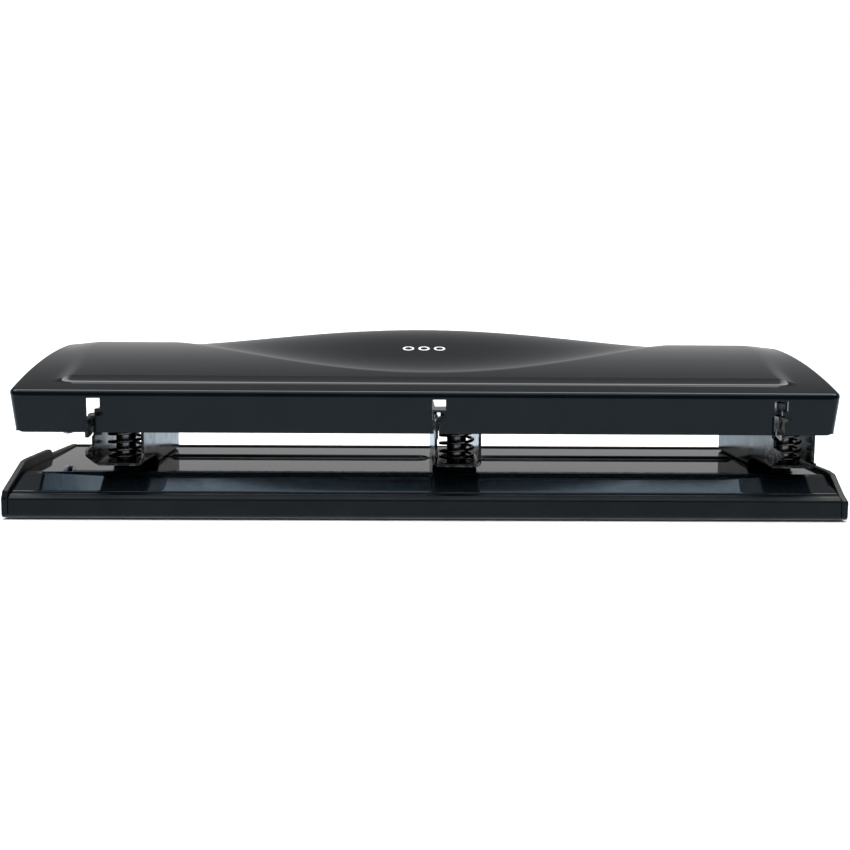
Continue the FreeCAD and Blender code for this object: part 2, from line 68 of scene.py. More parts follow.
# punch heads
HALF_SPACING, STROKE = 53.975, 3.3
PIN_AT, PIN_RADIUS, WALL_HALF, SHEET = 22.8, 3.175, 7.6, 0.9
UNDER_FLOOR, FRAME_TOP, FRAME_BACK, FLOOR_FRONT, WALL_FRONT = 14.7, 31.7, 74.6, 12.0, 14.0
WASHER_LOW, SPRING_RADIUS, WIRE, SPRING_PITCH = 28.0, 5.35, 0.5, 2.6
HOOK_FRONT, HOOK_LOW, HOOK_TOP, HOOK_BEND, HOOK_CURL = 0.5, 30.3, 32.0, 1.6, 3.0
RISE_FROM, RISE_DEPTH = 33, 4.5
# lever
LID_HALF, LID_FRONT, LID_BACK, LID_SHEET, BEND = 130.7, 5.8, 77.0, 1.0, 1.3
SKIRT_TOP, SKIRT_BOTTOM, SKIRT_LEAN, BACK_BOTTOM = 38.2, 26.1, 1.6, 46.0
EDGE_FRONT, EDGE_RISE, EDGE_ARCH = 39.0, 11.3, 0.001742
ROD_AT, ROD_HEIGHT, ROD_RADIUS, EAR_RADIUS = 70.0, 22.0, 2.5, 4.0
PANEL_FRONT, PANEL_SLOPE, PANEL_HALF, PANEL_RISE = 13.5, 3.0, 119.5, 1.6
PANEL_WIDENS_FROM, PANEL_WIDENS_OVER, PANEL_WIDENS, PANEL_FADE = 20, 45, 11, 0.4
PANEL_END, PANEL_END_SOFTENS = 7, 6
CREASE_FRONT, CREASE_HALF, BULGE_RISE, BULGE_HALF, BULGE_FOOT = 20.5, 90.0, 5.9, 86.0, 50.5


# ---------------------------------------------------------------- mesh helpers

def bench(x, y, z):
    return Vector((x * MM, TRAY_LOW.y + y * MM, TRAY_LOW.z + z * MM))


def smooth(value):
    """0 below 0, 1 above 1 and an S between."""
    value = min(max(value, 0.0), 1.0)
    return value * value * (3 - 2 * value)


def spread(start, end, count):
    """count + 1 evenly spaced numbers from start to end."""
    return [start + (end - start) * index / count for index in range(count + 1)]


def grid(lines, closed=False, keep=lambda i, j: True):
    """A shell of quads between neighbouring lines of points; keep says which quads stay."""
    width = len(lines[0])
    points = [point for line in lines for point in line]
    faces = []
    for i in range(len(lines) - 1):
        for j in range(width if closed else width - 1):
            if keep(i, j):
                following = (j + 1) % width
                faces.append((i * width + j, i * width + following,
                              (i + 1) * width + following, (i + 1) * width + j))
    return points, faces


def extruded(outline, start, end, axis="x"):
    """A straight-sided solid from a closed outline: (y, z) along x, or (x, z) along y."""
    def at(corner, along):
        return (along, *corner) if axis == "x" else (corner[0], along, corner[1])
    count = len(outline)
    points = [at(corner, start) for corner in outline] + [at(corner, end) for corner in outline]
    faces = [tuple(range(count)), tuple(range(2 * count - 1, count - 1, -1))]
    for index in range(count):
        following = (index + 1) % count
        faces.append((index, following, count + following, count + index))
    return points, faces


def turned(section, x, y, z=0.0, axis="z", steps=96):
    """A solid of revolution from (radius, height) corners of a closed half section."""
    rings, points, faces = [], [], []
    for radius, height in section:
        ring = []
        for step in range(steps if radius > 0 else 1):
            angle = 2 * math.pi * step / steps
            across, up = radius * math.cos(angle), radius * math.sin(angle)
            ring.append(len(points))
            points.append((x + across, y + up, z + height) if axis == "z"
                          else (x + height, y + across, z + up))
        rings.append(ring)
    for first, second in zip(rings, rings[1:] + rings[:1]):
        if len(first) == 1 and len(second) == 1:
            continue
        for step in range(steps):
            a, b = first[step % len(first)], first[(step + 1) % len(first)]
            c, d = second[(step + 1) % len(second)], second[step % len(second)]
            faces.append(tuple(dict.fromkeys((a, b, c, d))))
    return points, faces


def build(name, shells):
    """One object from one or more shells, with its faces turned outwards."""
    points, faces = [], []
    for shell_points, shell_faces in shells:
        first = len(points)
        points += [bench(*point) for point in shell_points]
        faces += [tuple(first + index for index in face) for face in shell_faces]
    mesh = bpy.data.meshes.new(name)
    mesh.from_pydata(points, [], faces)
    work = bmesh.new()
    work.from_mesh(mesh)
    bmesh.ops.recalc_face_normals(work, faces=work.faces)
    work.to_mesh(mesh)
    work.free()
    mesh.shade_smooth()
    obj = bpy.data.objects.new(name, mesh)
    bpy.context.scene.collection.objects.link(obj)
    return obj


def face_up(obj):
    """Turns an open shell so that its widest upper face looks up."""
    mesh = obj.data
    if sum(polygon.normal.z * polygon.area for polygon in mesh.polygons) < 0:
        mesh.flip_normals()


def thicken(obj, depth):
    """Gives an open shell its sheet thickness, inwards."""
    sheet = obj.modifiers.new("sheet", "SOLIDIFY")
    sheet.thickness = depth * MM
    sheet.offset = -1
    sheet.use_even_offset = True
    sheet.use_quality_normals = True


def soften(obj, width, angle=35, segments=3):
    """Rounds the edges that are sharper than the angle."""
    edge = obj.modifiers.new("edge", "BEVEL")
    edge.width = width * MM
    edge.segments = segments
    edge.limit_method = "ANGLE"
    edge.angle_limit = math.radians(angle)
    edge.use_clamp_overlap = True
    edge.harden_normals = True


def cut_holes(obj, rounds, low, high):
    """Cuts round holes of (x, y, radius) straight down through the object."""
    drills = build("drills", [turned([(0, low), (radius, low), (radius, high), (0, high)], x, y)
                              for x, y, radius in rounds])
    cut = obj.modifiers.new("holes", "BOOLEAN")
    cut.object = drills
    cut.operation = "DIFFERENCE"
    bake(obj)
    bpy.data.objects.remove(drills)


def bake(obj):
    """Applies the modifiers so far."""
    bpy.context.view_layer.update()
    graph = bpy.context.evaluated_depsgraph_get()
    mesh = bpy.data.meshes.new_from_object(obj.evaluated_get(graph))
    obj.modifiers.clear()
    obj.data = mesh


def adopt(obj, node, body, material):
    """The finished piece takes the CAD node's place on its body and gets its finish."""
    if not obj.data.materials:
        obj.data.materials.append(material)
    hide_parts(node)
    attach(obj, body)


# ---------------------------------------------------------------- materials

class Finish:
    """A procedural finish on a Principled shader, in coordinates that stay with the piece."""

    def __init__(self, name, ior=1.45, metallic=0.0):
        self.material = bpy.data.materials.new(name)
        self.material.use_nodes = True
        self.nodes = self.material.node_tree.nodes
        self.links = self.material.node_tree.links
        self.shader = self.nodes["Principled BSDF"]
        self.shader.inputs["IOR"].default_value = ior
        self.shader.inputs["Metallic"].default_value = metallic
        self.where = self.nodes.new("ShaderNodeTexCoord").outputs["Object"]

    def noise(self, size_mm, detail=3.0, stretch=(1, 1, 1)):
        """Noise whose features are about size_mm long, from 0 to 1."""
        mapping = self.nodes.new("ShaderNodeMapping")
        mapping.inputs["Scale"].default_value = [factor / (size_mm * MM) for factor in stretch]
        self.links.new(self.where, mapping.inputs["Vector"])
        texture = self.nodes.new("ShaderNodeTexNoise")
        texture.inputs["Scale"].default_value = 1.0
        texture.inputs["Detail"].default_value = detail
        self.links.new(mapping.outputs["Vector"], texture.inputs["Vector"])
        return texture.outputs["Fac"]

    def scaled(self, value, low, high, start=0.3, end=0.7):
        """Maps start..end of a value onto low..high."""
        node = self.nodes.new("ShaderNodeMapRange")
        node.inputs["From Min"].default_value = start
        node.inputs["From Max"].default_value = end
        node.inputs["To Min"].default_value = low
        node.inputs["To Max"].default_value = high
        self.links.new(value, node.inputs["Value"])
        return node.outputs["Result"]

    def product(self, first, second):
        node = self.nodes.new("ShaderNodeMath")
        node.operation = "MULTIPLY"
        self.links.new(first, node.inputs[0])
        self.links.new(second, node.inputs[1])
        return node.outputs["Value"]

    def mixed(self, factor, first, second):
        """A colour between two colours."""
        node = self.nodes.new("ShaderNodeMix")
        node.data_type = "RGBA"
        self.links.new(factor, node.inputs["Factor"])
        for socket, value in zip((node.inputs[6], node.inputs[7]), (first, second)):
            if isinstance(value, tuple):
                socket.default_value = (*value, 1.0)
            else:
                self.links.new(value, socket)
        return node.outputs[2]

    def edges(self, low, high):
        """About 1 on sharp outer edges and 0 elsewhere."""
        geometry = self.nodes.new("ShaderNodeNewGeometry")
        return self.scaled(geometry.outputs["Pointiness"], 0.0, 1.0, low, high)

    def colour(self, value):
        self.links.new(value, self.shader.inputs["Base Color"])

    def roughness(self, value):
        self.links.new(value, self.shader.inputs["Roughness"])

    def bump(self, height, strength, depth_mm):
        node = self.nodes.new("ShaderNodeBump")
        node.inputs["Strength"].default_value = strength
        node.inputs["Distance"].default_value = depth_mm * MM
        self.links.new(height, node.inputs["Height"])
        previous = self.shader.inputs["Normal"].links
        if previous:
            self.links.new(previous[0].from_socket, node.inputs["Normal"])
        self.links.new(node.outputs["Normal"], self.shader.inputs["Normal"])


def enamel(name, dark, light, smooth_rough, dull_rough, peel, ior):
    """Gloss enamel: mottled black, faint orange peel, hand smudges and a few fine hairlines."""
    finish = Finish(name, ior=ior)
    cloud = finish.noise(18, detail=4)
    finish.colour(finish.mixed(finish.scaled(cloud, 0.0, 1.0), dark, light))
    smudge = finish.noise(30, detail=5, stretch=(1, 1.6, 1))
    hairline = finish.noise(0.5, detail=1, stretch=(0.03, 1, 1))
    dull = finish.product(finish.scaled(smudge, 0.0, 1.0, 0.45, 0.75),
                          finish.scaled(hairline, 0.5, 1.0, 0.4, 0.8))
    finish.roughness(finish.scaled(dull, smooth_rough, dull_rough, 0.0, 1.0))
    finish.bump(finish.noise(1.3, detail=2), peel, 0.02)
    return finish.material


def worn_enamel(name, dark, bare):
    """Enamel on small sheet parts, rubbed to bare steel on the very edges."""
    finish = Finish(name, ior=1.32)
    wear = finish.product(finish.edges(0.54, 0.64),
                          finish.scaled(finish.noise(2.0, detail=4), 0.0, 1.0, 0.5, 0.62))
    cloud = finish.mixed(finish.scaled(finish.noise(6), 0.0, 1.0), dark,
                         tuple(2 * value for value in dark))
    finish.colour(finish.mixed(wear, cloud, bare))
    finish.links.new(wear, finish.shader.inputs["Metallic"])
    finish.roughness(finish.scaled(finish.noise(4, detail=5), 0.14, 0.26))
    finish.bump(finish.noise(0.8, detail=2), 0.05, 0.02)
    return finish.material


def plastic(name, dark, light):
    """Injection-moulded plastic: fine spark grain, faint flow lines along the length."""
    finish = Finish(name, ior=1.46)
    flow = finish.noise(3.0, detail=3, stretch=(0.04, 1, 1))
    finish.colour(finish.mixed(finish.scaled(flow, 0.0, 1.0), dark, light))
    finish.roughness(finish.scaled(finish.noise(9, detail=4), 0.36, 0.5))
    finish.bump(finish.noise(0.35, detail=2), 0.12, 0.03)
    finish.bump(flow, 0.08, 0.05)
    return finish.material


def rubber(name, dark, light):
    finish = Finish(name, ior=1.5)
    finish.colour(finish.mixed(finish.scaled(finish.noise(2.5, detail=5), 0.0, 1.0), dark, light))
    finish.roughness(finish.scaled(finish.noise(1.2), 0.75, 0.92))
    finish.bump(finish.noise(0.25, detail=3), 0.3, 0.05)
    return finish.material


def metal(name, dark, light, rough_low, rough_high, stretch, grain_mm=0.6):
    """Steel with drawn or ground lines along one direction and darker tarnish patches."""
    finish = Finish(name, metallic=1.0)
    tarnish = finish.scaled(finish.noise(3.5, detail=5), 0.0, 1.0, 0.35, 0.65)
    finish.colour(finish.mixed(tarnish, light, dark))
    grain = finish.noise(grain_mm, detail=3, stretch=stretch)
    finish.roughness(finish.scaled(grain, rough_low, rough_high))
    finish.bump(grain, 0.06, 0.02)
    return finish.material


def nylon(name, dark, light):
    finish = Finish(name, ior=1.53)
    finish.shader.inputs["Subsurface Weight"].default_value = 0.2
    finish.shader.inputs["Subsurface Radius"].default_value = (0.001, 0.001, 0.001)
    finish.colour(finish.mixed(finish.scaled(finish.noise(2.0, detail=4), 0.0, 1.0), dark, light))
    finish.roughness(finish.scaled(finish.noise(1.5), 0.42, 0.58))
    finish.bump(finish.noise(0.3), 0.15, 0.03)
    return finish.material


LID_ENAMEL = enamel("lid_enamel", (0.0013, 0.0032, 0.005), (0.0026, 0.005, 0.0072),
                    0.04, 0.11, 0.03, ior=1.4)
BASE_ENAMEL = enamel("base_enamel", (0.003, 0.0055, 0.008), (0.005, 0.008, 0.011),
                     0.03, 0.08, 0.012, ior=1.45)
HEAD_ENAMEL = worn_enamel("head_enamel", (0.004, 0.0045, 0.005), (0.16, 0.15, 0.14))
TRAY_PLASTIC = plastic("tray_plastic", (0.0008, 0.002, 0.003), (0.0015, 0.003, 0.0044))
RUBBER = rubber("rubber", (0.012, 0.012, 0.012), (0.022, 0.022, 0.021))
HARD_STEEL = metal("hardened_steel", (0.16, 0.15, 0.15), (0.34, 0.33, 0.33), 0.18, 0.34,
                   (1, 1, 0.2))
SPRING_STEEL = metal("spring_steel", (0.11, 0.08, 0.055), (0.36, 0.30, 0.24), 0.16, 0.32,
                     (1, 1, 1), 0.3)
ZINC_STEEL = metal("zinc_steel", (0.2, 0.2, 0.21), (0.42, 0.43, 0.46), 0.2, 0.36, (0.15, 1, 1))
BARE_STEEL = metal("bare_steel", (0.13, 0.125, 0.12), (0.3, 0.3, 0.3), 0.25, 0.42, (0.08, 1, 1))
NYLON = nylon("nylon", (0.36, 0.35, 0.31), (0.5, 0.49, 0.45))
# painted reflection: the lever's inside is a light, nearly silver metal instead of the black of its
# outside, so that the base's ramp under the lid mirrors it as a bright band; its colour stands in
# for light that the ramp reflects
LID_INSIDE_LIGHT_FOR_REFLECTION = metal("inside_light_for_ramp_reflection", (0.66, 0.72, 0.78), (0.8, 0.87, 0.93), 0.36, 0.46,
                   (0.1, 1, 1))
MARK_WHITE = plastic("mark_white", (0.62, 0.64, 0.66), (0.78, 0.8, 0.82))


# ---------------------------------------------------------------- base

def tray_sections():
    """Outlines (y, z) of the tray's middle, its left paper stop and its right rim."""
    under = [(0, FOOT_ROUND), (FOOT_ROUND, 0), (BASE_DEPTH, 0)]
    middle = under + [(BASE_DEPTH, TRAY_BACK_TOP), (BASE_DEPTH - 2, TRAY_BACK_TOP),
                      (BASE_DEPTH - 2, 2), (2, 2), (2, TRAY_FRONT - 0.6),
                      (LIP_DEPTH, TRAY_FRONT + 0.4), (LIP_DEPTH, LIP_TOP), (1.6, LIP_TOP - 0.3),
                      (0, TRAY_FRONT)]
    stop = under + [(BASE_DEPTH, 12.6), (50.5, 13.2), (48.5, 15.0), (24, 15.2), (20, 14.9),
                    (1.5, 8.4), (0, TRAY_FRONT)]
    rim = under + [(BASE_DEPTH, 12.8), (17, 13.3), (12.5, 12.9), (3.9, 7.6), (0, TRAY_FRONT)]
    return middle, stop, rim


def chip_tray():
    middle, stop, rim = tray_sections()
    inner = BASE_HALF - RIM_WALL
    tray = build("chip_tray_shell", [extruded(middle, -inner, inner),
                                     extruded(stop, -BASE_HALF, -inner),
                                     extruded(rim, inner, BASE_HALF)])
    soften(tray, 0.45, angle=12)
    adopt(tray, "chip_tray", "tray", TRAY_PLASTIC)


def tray_pads():
    across, near, far = BASE_HALF - PAD_INSET, PAD_INSET, BASE_DEPTH - PAD_INSET
    section = [(0, -0.6), (5.2, -0.6), (5.4, -0.35), (5.8, -0.35), (6.0, -0.6), (6.6, -0.6),
               (7.0, -0.2), (7.0, 0.8), (0, 0.8)]
    pads = build("tray_pad_discs", [turned(section, x, y) for x in (-across, across)
                                    for y in (near, far)])
    soften(pads, 0.12)
    adopt(pads, "tray_pads", "tray", RUBBER)


def plate_height(x, y):
    """The pressed plate's upper surface: ramp, step that fades towards both ends, table, beads."""
    crest = RAMP_TOP + CREST_RISE * smooth((abs(x) - CREST_FROM) / CREST_WIDTH)
    if y < RAMP_BACK:
        return crest - (crest - RAMP_LOW) * (RAMP_BACK - y) / (RAMP_BACK - RAMP_FRONT)
    rise = (TABLE_TOP - crest) * smooth((y - RAMP_BACK) / (STEP_BACK - RAMP_BACK))
    bead = 0.0
    for middle in (HEADS["center"] - HALF_SPACING, HEADS["center"] + HALF_SPACING):
        reach = BEAD_REACH - abs(x - middle)
        across = smooth((BEAD_WIDTH / 2 + 0.3 - abs(y - BEAD_AT)) / 1.6)
        bead += BEAD_RISE * across * smooth(reach / 2.5)
    return crest + rise + bead


def base_plate():
    rows = [PLATE_FRONT + 0.6, 5.2, 7, 9, 11, 13, 14.6, 15.2]
    rows += spread(RAMP_BACK, STEP_BACK, 8)
    rows += [17.5, 18, 19, 20.5, 22, 24, 27, 30, 34, 38, 42, 46]
    rows += spread(BEAD_AT - 2.6, BEAD_AT + 2.6, 16)
    rows += [58, 61, 65, 70, 75, 78, PLATE_BACK - 0.8]
    ends = spread(-PLATE_HALF, -94, 36) + spread(94, PLATE_HALF, 36)
    lines = []
    for x in sorted(set(ends + spread(-94, 94, 94)[1:-1])):
        line = [(x, PLATE_FRONT, z) for z in (2.3, 4.5, 6.6, 7.0)]
        line += [(x, PLATE_FRONT + 0.08, 7.5), (x, PLATE_FRONT + 0.28, 7.78)]
        line += [(x, y, plate_height(x, y)) for y in rows]
        line += [(x, PLATE_BACK - 0.8 + 0.8 * math.sin(turn), 11.2 + 0.8 * math.cos(turn))
                 for turn in spread(0.3, math.pi / 2, 4)]
        line += [(x, PLATE_BACK, z) for z in (8, 4.5, 2.3)]
        lines.append(line)
    plate = build("base_plate_pressing", [grid(lines)])
    face_up(plate)
    thicken(plate, PLATE_SHEET)
    cut_holes(plate, [(x, PIN_AT, PIN_RADIUS + 1.42) for x in HEADS.values()], 8, 16)
    soften(plate, 0.12, angle=50, segments=2)
    adopt(plate, "base_plate", "chassis", BASE_ENAMEL)


def frame_rivets():
    under, foot = TABLE_TOP - 1.02, TABLE_TOP + SHEET + 0.02
    section = [(0, under - 1), (2.6, under - 1), (3.2, under), (2.0, under), (2.0, foot),
               (3.4, foot), (3.3, foot + 0.35), (2.8, foot + 0.8), (1.8, foot + 1.05),
               (0.9, foot + 1.1), (0.7, foot + 0.8), (0, foot + 0.75)]
    rivets = build("rivet_set", [turned(section, x, y) for x in HEADS.values() for y in (46, 62)])
    soften(rivets, 0.08, angle=40)
    adopt(rivets, "frame_rivets", "chassis", ZINC_STEEL)


# ---------------------------------------------------------------- hinge

def hinge_rod():
    reach = LID_HALF - SKIRT_LEAN + 2
    section = [(0, -reach), (ROD_RADIUS - 0.3, -reach), (ROD_RADIUS, 0.3 - reach),
               (ROD_RADIUS, reach - 0.3), (ROD_RADIUS - 0.3, reach), (0, reach)]
    rod = build("hinge_rod_bar", [turned(section, 0, ROD_AT, ROD_HEIGHT, axis="x")])
    soften(rod, 0.1)
    adopt(rod, "hinge_rod", "chassis", ZINC_STEEL)


def rod_caps():
    face = LID_HALF - SKIRT_LEAN + 0.3
    shells = []
    for side in (-1, 1):
        section = [(2.51, 0), (4.2, 0), (4.2, 1.4), (3.9, 1.9), (3.2, 2.3), (2.2, 2.3),
                   (1.6, 2.05), (0, 2.05), (0, 1.75), (2.51, 1.75)]
        shells.append(turned([(r, side * (face + h)) for r, h in section], 0, ROD_AT, ROD_HEIGHT,
                             axis="x"))
    caps = build("rod_cap_pair", shells)
    soften(caps, 0.12)
    adopt(caps, "rod_caps", "chassis", ZINC_STEEL)


# ---------------------------------------------------------------- punch heads

def frame_walls(x):
    """The U of sheet: rows run from front to back, columns round the U."""
    def column(y):
        low = UNDER_FLOOR - (UNDER_FLOOR - TABLE_TOP) * smooth((y - RISE_FROM) / RISE_DEPTH)
        bend = 1.6
        arc = [(WALL_HALF - bend + bend * math.cos(turn), low + bend - bend * math.sin(turn))
               for turn in spread(0, math.pi / 2, 6)]
        right = [(WALL_HALF, z) for z in (FRAME_TOP, 29.2, 24.0, 19.0)] + arc + [(3.0, low)]
        return [(x - a, y, z) for a, z in right] + [(x, y, low)] + [(x + a, y, z)
                                                                   for a, z in reversed(right)]
    stations = [FLOOR_FRONT, WALL_FRONT, 18, 26, 32]
    stations += spread(RISE_FROM, RISE_FROM + RISE_DEPTH, 8) + [42, 54, 66, FRAME_BACK]
    lines = [column(y) for y in stations]
    width = len(lines[0])
    return grid(lines, keep=lambda i, j: i > 0 or 3 < j < width - 5)


def nose(x):
    """The left wall's two noses, which reach out through the lever's slot."""
    under = UNDER_FLOOR
    outline = [(15, under + 1.7), (WALL_FRONT - 1.2, under + 0.9), (FLOOR_FRONT, under + 0.6),
               (1.6, under + 4.2), (HOOK_FRONT, under + 4.9), (HOOK_FRONT, 21.0), (0.9, 21.4),
               (8.4, 21.8), (8.7, 22.1), (8.7, 24.2), (9.0, 24.5), (10.5, 24.8), (10.5, 26.4),
               (7.5, 26.4), (6.2, 25.6), (2.5, 25.0), (1.0, 25.0), (HOOK_FRONT, 25.5),
               (HOOK_FRONT, 30.4), (4.3, 30.4), (4.6, 31.8), (5.0, HOOK_TOP), (9.0, HOOK_TOP),
               (9.6, 31.9), (10.5, FRAME_TOP - 0.05), (15, FRAME_TOP - 0.05)]
    return extruded(outline, x - WALL_HALF + 0.01, x - WALL_HALF + SHEET - 0.01)


def curl(x):
    """The upper nose's top edge, bent over to the right."""
    bend, top, thick = HOOK_BEND, HOOK_TOP, SHEET
    outer = [(x - WALL_HALF, HOOK_LOW)]
    inner = [(x - WALL_HALF + thick, HOOK_LOW)]
    for turn in spread(0, math.pi / 2, 7):
        across, up = math.cos(turn), math.sin(turn)
        outer.append((x - WALL_HALF + bend * (1 - across), top - bend * (1 - up)))
        inner.append((x - WALL_HALF + bend - (bend - thick) * across,
                      top - bend + (bend - thick) * up))
    outer.append((x - WALL_HALF + HOOK_CURL, top))
    inner.append((x - WALL_HALF + HOOK_CURL, top - thick))
    return extruded(outer + inner[::-1], HOOK_FRONT, 4.3, axis="y")


def head_frame(name, x):
    body = build(f"{name}_frame_u", [frame_walls(x)])
    mesh = body.data
    floor = max(mesh.polygons, key=lambda polygon: abs(polygon.normal.z) * polygon.area)
    if floor.normal.z > 0:
        mesh.flip_normals()
    thicken(body, SHEET)
    bake(body)
    cut_holes(body, [(x, PIN_AT, PIN_RADIUS + 0.05)], UNDER_FLOOR - 2, UNDER_FLOOR + 3)
    extra = build(f"{name}_noses", [nose(x), curl(x)])
    joined = bmesh.new()
    joined.from_mesh(body.data)
    joined.from_mesh(extra.data)
    joined.to_mesh(body.data)
    joined.free()
    bpy.data.objects.remove(extra)
    body.data.shade_smooth()
    soften(body, 0.16, angle=40)
    adopt(body, f"{name}_frame", "chassis", HEAD_ENAMEL)


def guide(name, x):
    inner, outer = WALL_HALF + 0.03, WALL_HALF + 0.83
    low, under = FRAME_TOP - 2.4, FRAME_TOP + 0.03
    section = [(-outer, low), (-inner, low), (-inner, under), (inner, under), (inner, low),
               (outer, low), (outer, under + 0.8), (-outer, under + 0.8)]
    section = [(x + a, z) for a, z in section]
    saddle = build(f"{name}_guide_saddle",
                   [extruded(section, PIN_AT - 6.8, PIN_AT + 6.8, axis="y")])
    soften(saddle, 0.25)
    adopt(saddle, f"{name}_guide", "chassis", ZINC_STEEL)


def die(name, x):
    bore, rim, collar, under = PIN_RADIUS + 0.05, PIN_RADIUS + 1.4, PIN_RADIUS + 2.0, 10.98
    section = [(bore, 8.4), (collar, 8.4), (collar, under), (rim, under), (rim, TABLE_TOP),
               (bore, TABLE_TOP)]
    bush = build(f"{name}_die_bush", [turned(section, x, PIN_AT)])
    soften(bush, 0.06)
    adopt(bush, f"{name}_die", "chassis", HARD_STEEL)


def pin(name, x):
    tip, groove = UNDER_FLOOR, WASHER_LOW + 0.8
    section = [(0, tip + 0.9), (PIN_RADIUS, tip), (PIN_RADIUS, groove), (2.6, groove),
               (2.6, groove + 0.82), (PIN_RADIUS, groove + 0.82), (PIN_RADIUS, 34.9), (2.9, 35.4),
               (2.2, 35.9), (1.3, 36.1), (0, 36.1)]
    punch = build(f"{name}_pin_punch", [turned(section, x, PIN_AT)])
    soften(punch, 0.05, angle=25)
    adopt(punch, f"{name}_pin", f"{name}_plunger", HARD_STEEL)


def washer(name, x):
    low, high = WASHER_LOW, WASHER_LOW + 0.8
    section = [(PIN_RADIUS + 0.05, low), (5.7, low), (5.7, high), (PIN_RADIUS + 0.05, high)]
    disc = build(f"{name}_washer_disc", [turned(section, x, PIN_AT)])
    soften(disc, 0.15)
    adopt(disc, f"{name}_washer", f"{name}_plunger", ZINC_STEEL)


def ring(name, x):
    low = WASHER_LOW + 0.81
    section = [(2.65, low), (4.75, low), (4.75, low + 0.8), (2.65, low + 0.8)]
    clip = build(f"{name}_ring_clip", [turned(section, x, PIN_AT)])
    soften(clip, 0.12)
    adopt(clip, f"{name}_ring", f"{name}_plunger", SPRING_STEEL)


def coil(name, x):
    """Round wire: one close turn at each end and open turns between."""
    floor = UNDER_FLOOR + SHEET
    low, high = floor + WIRE + 0.05, WASHER_LOW - WIRE - 0.05
    close, around, per_turn = 2 * WIRE + 0.04, 20, 48
    open_turns = (high - low - 2 * close) / SPRING_PITCH
    steps = round(per_turn * (open_turns + 2))
    lines = []
    for step in range(steps + 1):
        turn = (open_turns + 2) * step / steps
        if turn < 1:
            lift = close * turn
        elif turn < 1 + open_turns:
            lift = close + SPRING_PITCH * (turn - 1)
        else:
            lift = high - low - close * (open_turns + 2 - turn)
        angle = 2 * math.pi * turn
        section = []
        for side in range(around):
            tilt = 2 * math.pi * side / around
            radius = SPRING_RADIUS + WIRE * math.cos(tilt)
            section.append((x + radius * math.cos(angle), PIN_AT + radius * math.sin(angle),
                            low + lift + WIRE * math.sin(tilt)))
        lines.append(section)
    points, faces = grid(lines, closed=True)
    faces.append(tuple(range(around)))
    faces.append(tuple(range(len(points) - 1, len(points) - around - 1, -1)))
    wire = build(f"{name}_spring_coil", [(points, faces)])
    wire.data.set_sharp_from_angle(angle=math.radians(60))
    adopt(wire, f"{name}_spring", "chassis", SPRING_STEEL)
    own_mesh(wire)


# ---------------------------------------------------------------- lever

def arch_height(x, y):
    """The lever's upper surface without the palm bulge."""
    back, depth = y - LID_FRONT, LID_BACK - LID_FRONT
    arch = EDGE_FRONT + (EDGE_RISE / depth + EDGE_ARCH * depth) * back - EDGE_ARCH * back * back
    rise_front = min(max((y - PANEL_FRONT) / PANEL_SLOPE, 0), 1) ** 2
    widening = smooth((y - PANEL_WIDENS_FROM) / PANEL_WIDENS_OVER)
    end_slope = PANEL_END + PANEL_END_SOFTENS * widening
    rise_end = smooth((PANEL_HALF + PANEL_WIDENS * widening - abs(x)) / end_slope)
    fade = 1 - PANEL_FADE * max(y - PANEL_FRONT, 0) / depth
    return arch + PANEL_RISE * rise_front * rise_end * fade


def crease_at(x):
    return CREASE_FRONT + (LID_BACK - CREASE_FRONT) * (x / CREASE_HALF) ** 2


def lid_height(x, y):
    """The whole upper surface: behind a curved crease the palm bulge starts flat, climbs and
    flattens again at the back edge."""
    crease = crease_at(x)
    if y <= crease or crease >= LID_BACK:
        return arch_height(x, y)
    across = min(abs(x) / BULGE_HALF, 1)
    swell = BULGE_RISE * max(math.cos(math.pi * across / 2), 0) ** 1.3
    start, end = arch_height(x, crease), BULGE_FOOT + swell
    along = (y - crease) / (LID_BACK - crease)
    return start + (end - start) * (0.3 * along + 0.7 * smooth(along))


CORNER, BEND_STEPS = 1.6, 7
SLOT_LEFT, SLOT_RIGHT, WINDOW_RIGHT, SLIT_GAP = -0.9, 1.7, 3.4, 0.35
WINDOW_TOP, WINDOW_LOW, SLOT_LOW = 37.3, 33.9, 27.4
SLOT_EDGES = (SLOT_LEFT, -SLIT_GAP, SHEET + SLIT_GAP, SLOT_RIGHT, WINDOW_RIGHT)
# nominal heights: bend_and_skirt() spreads them in proportion from the foot of the bend, which is
# below SKIRT_TOP, so the front skirt's windows end about 0.5 mm lower than named here
SKIRT_LEVELS = (37.7, WINDOW_TOP, 35.6, WINDOW_LOW, 31.7, 29.5, SLOT_LOW, 26.7, SKIRT_BOTTOM)


def lid_columns():
    """x stations: even ones, closer ones on the panel's ends and corners, and the slots' edges."""
    half = LID_HALF - BEND
    fixed = [wall_x - WALL_HALF + edge for wall_x in HEADS.values() for edge in SLOT_EDGES]
    for side in (-1, 1):
        fixed += [side * value for value in spread(half - CORNER, half, 4)]
        fixed += [side * value for value in spread(PANEL_HALF - 8, PANEL_HALF, 11)]
    even = [x for x in spread(-half + CORNER, half - CORNER, 130)
            if min(abs(x - other) for other in fixed) > 0.55]
    return sorted(fixed + even)


def lid_rows(x):
    """y stations at one x; one of them follows the crease."""
    front, back = LID_FRONT + BEND, LID_BACK - BEND
    rows = spread(front, front + CORNER, 4) + [9.4, 11.0, 12.4]
    rows += spread(PANEL_FRONT - 0.2, PANEL_FRONT + PANEL_SLOPE - 0.2, 13)
    rows += spread(PANEL_FRONT + PANEL_SLOPE - 0.03, PANEL_FRONT + PANEL_SLOPE + 0.03, 3)
    bend_row = min(crease_at(x), 68.0)
    if abs(x) > 83:
        bend_row = 68.0 - 6.0 * smooth((abs(x) - 83) / 30)
    rows += spread(rows[-1], bend_row, 14)[1:]
    rows += spread(bend_row, back - CORNER, 24)[1:]
    return rows + spread(back - CORNER, back, 4)[1:]


